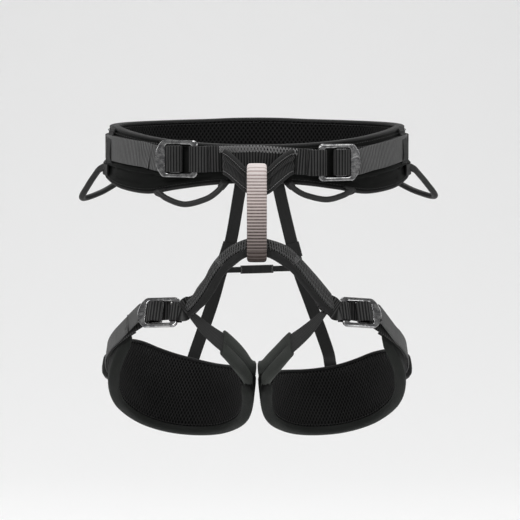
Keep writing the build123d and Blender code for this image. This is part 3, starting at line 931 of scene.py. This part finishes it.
def gear_loop(name):
    """A gear loop's cord, hung from its hinge by way of the rack's mount, and its two end tabs."""
    kind = name.split("_")[1]
    start, mount = place_of(JOINTS[f"{name}_gear_loop_flex"]), MOUNTS[f"{name}_gear_rack"]
    rack, chord = place_of(mount), unit(mount["axis"])
    half = chord * np.dot(rack - start, chord)
    sag = (rack - start - half) / 0.8 + GEAR_SPREAD.get(name, 0)
    line = through([start + half * 2 * u + sag * v for u, v in BENDS[kind]], 1.2)
    tube(f"{name}_gear_loop_cord", line, 3.2, PLASTIC, f"{name}_gear_loop", "moulded_loop", 16, 0.9,
         replaces=f"{name}_gear_loop")
    for label, cord in (("start", line), ("end", line[::-1])):
        p, along = cord[0], unit(cord[2] - cord[0])
        t = np.arctan2(p[0] / BELT_A, -p[1] / BELT_B)
        depth = 1.2 if (kind, label) == ("rear", "start") else -4.0
        foot = belt(t, belt_bottom(t) + 8.0, depth)
        rim = belt(t, max(p[2] + 3.0, belt_bottom(t) + 1.0), depth * 0.6 + 1.0)
        route = through([foot, rim, p, p + along * 5], 0.7)
        across = np.cross(route[-1] - route[0], belt_out(t))
        strap(f"{name}_gear_loop_{label}_tab", route, across, np.linspace(10, 7, len(route)), 2.0, PLASTIC)


def haul_loop():
    low, high = box("haul_loop")
    mid_y, r = (low[1] + high[1]) / 2, (high[1] - low[1]) / 2 - 1.0
    arc = np.linspace(0, pi, 13)
    ring = [(0, mid_y + r * cos(k), high[2] - 1 - r + r * sin(k)) for k in arc]
    ring += [(0, mid_y - r * cos(k), low[2] + 1 + r - r * sin(k)) for k in arc]
    line = resample(through(ring, 0.8, True), 0.8)[:-1]
    strap("haul_loop_webbing", line, vec(1, 0, 0), 12.0, 2.0, WEBBING, "haul_loop", closed=True,
          ribs=(RIB, 0.3), replaces="haul_loop")
    patch = belt(around(pi - 0.085, pi + 0.085, 1.0), high[2] - 6.0, 1.3)
    strap("haul_loop_patch", patch, vec(0, 0, 1), 12.0, 2.0, WEBBING, ribs=(RIB, 0.2))


# -------------------- centre
TIE_UPPER = [(-31, 8.8), (-27, 6.5), (-20, 0.5), (-10, -9), (0, -12), (10, -9), (20, 0), (29, 6.5), (34, 8.5)]
TIE_LOWER = [(-31, -11.5), (-27, -13.5), (-20, -19.5), (-10, -27.5), (0, -31.0), (10, -29.5), (20, -21.5)]
TIE_LOWER += [(29, -14.0), (34, -11.5)]
TIE_FOLDS = [(0.84, -1.3, 0.05), (0.72, 1.5, 0.07), (0.55, -1.3, 0.06), (0.3, 1.1, 0.1)]


def tie_in():
    mid_y = place_of(MOUNTS["belay_loop_eye"])[1]
    half, reach = 34.5, 15.6

    def bow(x):
        return 1 - np.sqrt(np.clip(1 - (x / (half * 1.3)) ** 2, 0, 1))

    def depth(x, z):
        return np.stack([x, mid_y + reach * bow(x) / bow(half), z], -1)

    pieces, mid, normal = panel("tie_in_webbing", TIE_UPPER, TIE_LOWER, depth, 2.6, TIE_WEB, None, 0.7, 0.3,
                                TIE_FOLDS, piping=2.3, count=25, replaces="tie_in_strap")
    stitches = []
    for k in (2, -3):
        stitches += stitch_row(mid[:, k] + normal[:, k] * 1.7, normal[:, k], 0.2, 2.6, 1.8)
    pieces.append(threads("tie_in_stitches", stitches, 0.26, PALE_THREAD, None))
    for piece in pieces:
        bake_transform(piece)
    for label, side in SIDES.items():
        rows = [belt_tack(t_at(side * x), -11, 9, 3.6, 0.7) for x in (34.0, 35.6)]
        threads(f"tie_in_bar_tack_{label}", rows, 0.3, THREAD)


def belay_loop():
    low, high = box("belay_loop")
    thick, half = 6.0, (high[1] - low[1]) / 2
    mid_y, r = (low[1] + high[1]) / 2, half - thick / 2
    top, foot = high[2] - half, low[2] + half
    arc = np.linspace(0, pi, 17)[1:-1]
    ring = [(0, mid_y - r, z) for z in steps(foot, top, 4.0)]
    ring += [(0, mid_y - r * cos(k), top + r * sin(k)) for k in arc]
    ring += [(0, mid_y + r, z) for z in steps(top, foot, 4.0)]
    ring += [(0, mid_y + r * cos(k), foot - r * sin(k)) for k in arc]
    line = resample(np.vstack([ring, ring[:1]]), 0.5)[:-1]
    total = lengths(np.vstack([line, line[:1]]))[-1]
    ribs = (total / round(total / RIB_PITCH), 0.9)
    strap("belay_loop_webbing", line, vec(1, 0, 0), 19.0, thick - 0.4, BELAY, "belay_loop", "belay_webbing",
          closed=True, ribs=ribs, both=True, cup=0.35, count=11, replaces="belay_loop")


UPPER = [(-66, -133.5), (-62, -130.2), (-57, -122), (-50, -112.5), (-44.3, -101.5), (-36, -90.5), (-23, -80)]
UPPER += [(-8, -73.7), (8, -73.7), (27.8, -80.8), (40, -91.5), (55.7, -109), (66, -121.5), (71.5, -128.5)]
SPLIT = [(-72, -150.5), (-62, -142.6), (-51, -128), (-44, -116), (-35, -102.5), (-24, -91.5), (-8, -83.2)]
SPLIT += [(10, -83.2), (26, -92), (38, -102.5), (52, -121), (65, -137.5), (76, -148)]
UNDER = [(-72, -154.5), (-61, -148), (-49, -138), (-40, -125), (-31, -109), (-22, -100.3), (-9, -91.5)]
UNDER += [(9, -91.5), (24, -99.8), (35, -109), (47, -124), (63, -144), (76, -152.5)]
CROSS_Y = [(-105, -87), (-63, -95), (-30, -106), (-9, -112.6), (9, -112.6), (30, -106), (63, -95), (105, -86)]


def crosspiece_y(x):
    return smooth(x, CROSS_Y)


def crosspiece():
    def depth(x, z):
        return np.stack([x, crosspiece_y(x), z], -1)

    _, mid, normal = panel("crosspiece_strap", UPPER, SPLIT, depth, 3.0, TEXTURED, "leg_loops", 0.8, 0.4,
                           [(0.12, 0.9, 0.09), (0.88, 0.9, 0.09)], replaces="crosspiece_webbing")
    rows = []
    for k in (2, 8):
        zig = mid[::3, k] + normal[::3, k] * 2.1
        zig[::2] += vec(0, 0, 0.9)
        rows.append(zig)
    rows += stitch_row(mid[:, 5] + normal[:, 5] * 1.95, normal[:, 5], 0.3, 2.6, 1.8)
    threads("crosspiece_stitches", rows, 0.3, MID_THREAD, "leg_loops")
    panel("crosspiece_tube_cover", SPLIT, UNDER, lambda x, z: depth(x, z) - vec(0, 0.4, 0), 4.4, TUBE_WEB,
          "leg_loops", 0.8, 1.6, replaces="crosspiece_tube")
    for label, x in (("right", -37.5), ("left", 39.0)):
        start = vec(x, crosspiece_y(x) - 2.6, smooth(x, UPPER) - 1.0)
        slope = unit(vec(np.sign(x), 0, -1.15))
        width = np.cross(slope, vec(0, -1, 0))
        width *= -9.5 * np.sign(width[2])
        starts = [start + slope * k * 1.7 for k in range(3)]
        rows = [zigzag(p, p + width, slope * 0.7, vec(0, -1, 0), 0.9) for p in starts]
        threads(f"crosspiece_bar_tack_{label}", rows, 0.32, PALE_THREAD, "leg_loops")


# -------------------- leg straps
LEG_BAND = [(-91, 9.0), (-84, 6.0), (-74, 0.0), (-62, -4.6), (-30, -9.0), (30, -9.5), (91, -10.0)]
LEG_KEEPER_RISE = [(0, 0.9), (0.1, 3.0), (0.18, 7.0), (0.26, 8.3), (0.5, 8.6), (0.74, 8.3), (0.82, 7.0)]
LEG_KEEPER_RISE += [(0.9, 3.0), (1, 0.9)]


def leg_band_w(a):
    return smooth(-THIGH_B * np.cos(a), LEG_BAND)


def leg_line(name, start, end, out):
    a = steps(radians(start), radians(end), 1 / THIGH_RUN)
    line = thigh(name, a, leg_band_w(a), out)
    across = np.cross(tangents(line), thigh_out(name, a))
    return line, across * np.sign(across @ LEG[name][3])[:, None]


def leg_straps(name):
    strap(f"{name}_leg_strap_webbing", *leg_line(name, 7, 118, 1.4), 20.0, 1.7, WEBBING, "leg_loops",
          replaces=f"{name}_leg_strap")
    strap(f"{name}_leg_tail_webbing", *buckle_tail(name, "leg", *leg_line(name, 41, 116, 3.4)), 19.6, 1.4,
          LEG_TAIL, "leg_loops", "tail_webbing", ribs=(1.8, 0.15), count=9, replaces=f"{name}_leg_tail")
    at, h = radians(104), np.linspace(0, 1, 34)
    band = thigh(name, at, leg_band_w(at) - 15.5 + 31 * h, smooth(h, LEG_KEEPER_RISE))
    across = thigh(name, at + 0.05, 0, 3) - thigh(name, at - 0.05, 0, 3)
    strap(f"{name}_leg_keeper_band", band, across, 11.0, 4.4, ELASTIC, "leg_loops",
          replaces=f"{name}_leg_keeper", ribs=(1.2, 0.1))


SLEEVE_TOP = [(-91, 8), (-73, 1.5), (-60, -3.0), (-45, -6.0), (-30, -7.5), (0, 2)]
SLEEVE_LOW = [(-91, -12), (-73, -21.5), (-60, -26.5), (-45, -31), (-32, -34), (0, -40)]
SLEEVE_SHIFT = {"right": (1.0, -3.0), "left": (-2.5, -4.0)}  # of its two edges, halfway along


def inner_parts(name):
    """The sleeve that comes up inside the thigh, and the narrow strap from it to the crosspiece."""
    a = np.linspace(radians(-37), radians(-84), 60)
    depth = -THIGH_B * np.cos(a)
    high, low = (
        smooth(depth, table) + shift * bump_at(depth, -56, 22)
        for table, shift in zip((SLEEVE_TOP, SLEEVE_LOW), SLEEVE_SHIFT[name])
    )
    middle = (high + low) / 2
    share = np.linspace(0, 1, 15)
    w = between(low, high, share)
    fat = np.minimum(1, (np.arange(60) + 1) / 4)[:, None] ** 0.5
    edge = np.sqrt(np.clip(1 - np.abs(2 * share - 1) ** 5, 0.03, 1))
    outer = thigh(name, a[:, None], w, (2.6 * edge - bump_at(share, 0.5, 0.05)) * fat - 1.6)
    inner = thigh(name, a[:, None], w, -3.4 * edge * fat - 3.6)
    places = (high - low)[:, None] * (share - 0.5)
    on_cloth = cloth(a * THIGH_RUN, joined(places, places[:, ::-1]))
    skin(f"{name}_sleeve_pad", joined(outer, inner[:, ::-1]), on_cloth, SLEEVE_CLOTH, "leg_loops",
         replaces=f"{name}_inner_sleeve", soft=0.5)
    seam = stitch_row(thigh(name, a, middle, 0.4), thigh_out(name, a), 0.25, 2.6, 1.8)
    threads(f"{name}_sleeve_stitches", seam, 0.24, THREAD, "leg_loops", "shell")

    before, centre = (thigh(name, a[i], middle[i], -2.5) for i in (9, 3))
    join_x = SIDES[name] * 64.5
    join = vec(join_x, crosspiece_y(join_x) + 3.4, -148.0)
    half_way = (centre + join) / 2 + vec(0, -2.0, -1.5)
    line = through([before, centre, half_way, join, join + unit(join - half_way) * 2], 0.7)
    wide = np.interp(lengths(line) / lengths(line)[-1], [0, 0.3, 0.55, 0.8, 1], [20, 18, 15, 10, 6.0])
    strap(f"{name}_inner_strap_webbing", line, LEG[name][3], wide, 1.7, SLEEVE_WEB, "leg_loops",
          replaces=f"{name}_inner_strap", ribs=(1.4, 0.1))


# -------------------- rear suspension
RISER = {
    "right": [(-11.5, 2), (-13.5, -12), (-19.7, -52), (-27.6, -96), (-37.6, -127), (-47, -160), (-64, -206),
              (-68, -226)],
    "left": [(14.5, 2), (17, -12), (25.3, -52), (35.3, -94), (44, -127), (56, -160), (72.5, -206),
             (77, -226)],
}
RISER_Y = [(-235, 81.5), (-226, 84.5), (-206, 92.0), (-190, 93.0), (-12, 97.2), (5, 97.6)]


def rear_y(z):
    return smooth(z, RISER_Y)


def riser_x(name, z):
    x, heights = np.array(RISER[name], float).T
    return np.interp(-z, -heights, x)


def riser_foot(name):
    """Where a riser meets the outside of its leg pad: above its edge, over it and below it."""
    a = np.radians(np.linspace(150, 230, 321))
    edge = thigh(name, a, leg_top(name, a) + 7, 0.4)
    at = a[np.argmin(np.abs(edge[:, 0] - riser_x(name, edge[:, 2])))]
    places = ((7, 0.4), (1, 2.2), (-6, 2.9), (-15, 3.0), (-26, 2.6))
    return np.array([thigh(name, at, leg_top(name, at) + up, out) for up, out in places])


def stretchy(name, line, across, width, thick, material, **traits):
    """A strap that stretches between the belt and the leg loops."""
    piece = strap(name, line, across, width, thick, material, None, **traits)
    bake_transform(piece)


def riser(name):
    foot = riser_foot(name)
    x, z = np.array([p for p in RISER[name] if p[1] > foot[0][2] + 14], float).T
    line = resample(through(np.vstack([np.stack([x, rear_y(z), z], 1), foot[:4]]), 1.0), 1.0)
    stretchy(f"{name}_riser_elastic", line, vec(1, 0, 0), 12.8, 1.7, ELASTIC, replaces=f"{name}_riser",
             ribs=(1.3, 0.14))
    z = np.linspace(-111.5, -96.5, 16)
    line = np.stack([riser_x(name, z), rear_y(z), z], 1)
    stretchy(f"{name}_junction", line, vec(1, 0, 0), 15.0, 4.0, ELASTIC, replaces=f"{name}_junction_sleeve",
             ribs=(1.3, 0.14))
    away = unit(foot[3] - LEG[name][0]) * 1.7
    line = resample(through(np.vstack([foot[1:4] + away, foot[4]]), 1.0), 1.0)
    strap(f"{name}_riser_tab_webbing", line, vec(1, 0, 0), 14.0, 2.0, WEBBING, "leg_loops",
          replaces=f"{name}_riser_tab", ribs=(RIB, 0.2))


def cross_strap():
    z = -123.0
    x0, x1 = (riser_x(name, z) for name in SIDES)
    x = steps(x0, x1, 1.0)
    line = np.stack([x, 0 * x + rear_y(z) - 0.8, z - 1.5 + 2.2 * (x - x0) / (x1 - x0)], 1)
    stretchy("cross_strap_elastic", line, vec(0, 0, 1), 6.0, 1.6, ELASTIC, replaces="cross_strap",
             ribs=(1.3, 0.12))
    mid = line[(x > -18) & (x < 17)]
    stretchy("cross_strap_cover", mid, vec(0, 0, 1), 8.6, 3.4, BINDING)
    reach = vec(0, 0, 3)
    ends = [mid[i] + vec(0, -1.6, 0) for i in (1, -2)]
    rows = [zigzag(p - reach, p + reach, vec(0.8, 0, 0), vec(0, -1, 0)) for p in ends]
    tacks = threads("cross_strap_tacks", rows, 0.3, PALE_THREAD, None)
    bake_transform(tacks)


# -------------------- build
belt_pad()
belt_binding("waist_top_binding", belt_top, 1)
belt_binding("waist_lower_binding", belt_bottom, -1)
front_webbing()
for name in SIDES:
    side_webbing(name)
    tail(name)
    keeper(name)
    keeper_tab(name)
    leg_pad(name)
    leg_lining(name)
    leg_border(name)
    leg_straps(name)
    inner_parts(name)
    for place in ("front", "rear"):
        gear_loop(f"{name}_{place}")
tie_in()
belay_loop()
crosspiece()
haul_loop()
for name in SIDES:
    riser(name)
cross_strap()
for name in SIDES:
    buckle_webbing(name)

for node, obj in frame["nodes"].items():
    if "buckle" in node:
        obj.data.materials.clear()
        obj.data.materials.append(STEEL if "frame" in node else DARK_STEEL)


# -------------------- studio
def studio():
    floor_z, back_y, front_y, turn_r, reach, wall_top = -0.62, 3.2, -9.0, 1.6, 9.0, 7.0
    arc = np.linspace(0.05, pi / 2, 24)
    profile = [(front_y, floor_z), (back_y - turn_r, floor_z)]
    profile += [(back_y - turn_r + turn_r * sin(k), floor_z + turn_r - turn_r * cos(k)) for k in arc]
    profile.append((back_y, wall_top))
    verts = [(x, y, z) for y, z in profile for x in (-reach, reach)]
    faces = [(2 * i, 2 * i + 1, 2 * i + 3, 2 * i + 2) for i in range(len(profile) - 1)]
    mesh = bpy.data.meshes.new("studio_floor")
    mesh.from_pydata(verts, [], faces)
    mesh.polygons.foreach_set("use_smooth", [True] * len(mesh.polygons))
    paper = bpy.data.materials.new("paper")
    paper.use_nodes = True
    plain(paper.node_tree, "Principled BSDF", Base_Color=(0.93, 0.93, 0.93, 1), Roughness=0.95,
          Specular_IOR_Level=0.0)
    mesh.materials.append(paper)
    floor = bpy.data.objects.new("studio_floor", mesh)
    bpy.context.scene.collection.objects.link(floor)
    world = bpy.data.worlds.new("studio")
    world.use_nodes = True
    plain(world.node_tree, "Background", Color=(1, 1, 1, 1), Strength=0.32)
    bpy.context.scene.world = world
    lamps = (
        ("key", (-1.2, -2.2, 1.9), 1.1, 44),
        ("fill", (2.0, -2.2, 0.6), 1.0, 16),
        ("top", (0.0, 0.3, 2.4), 1.2, 34),
        ("rim_right", (-2.2, 1.2, 0.8), 1.0, 13),
        ("rim_left", (2.2, 1.2, 0.8), 1.0, 13),
    )
    for label, place, size, power in lamps:
        light = bpy.data.lights.new(label, "AREA")
        light.size = size
        light.energy = power
        lamp = bpy.data.objects.new(label, light)
        lamp.location = place
        bpy.context.scene.collection.objects.link(lamp)
        aim(lamp, (0, 0, -0.1))


studio()
bpy.context.scene.view_settings.view_transform = "Standard"
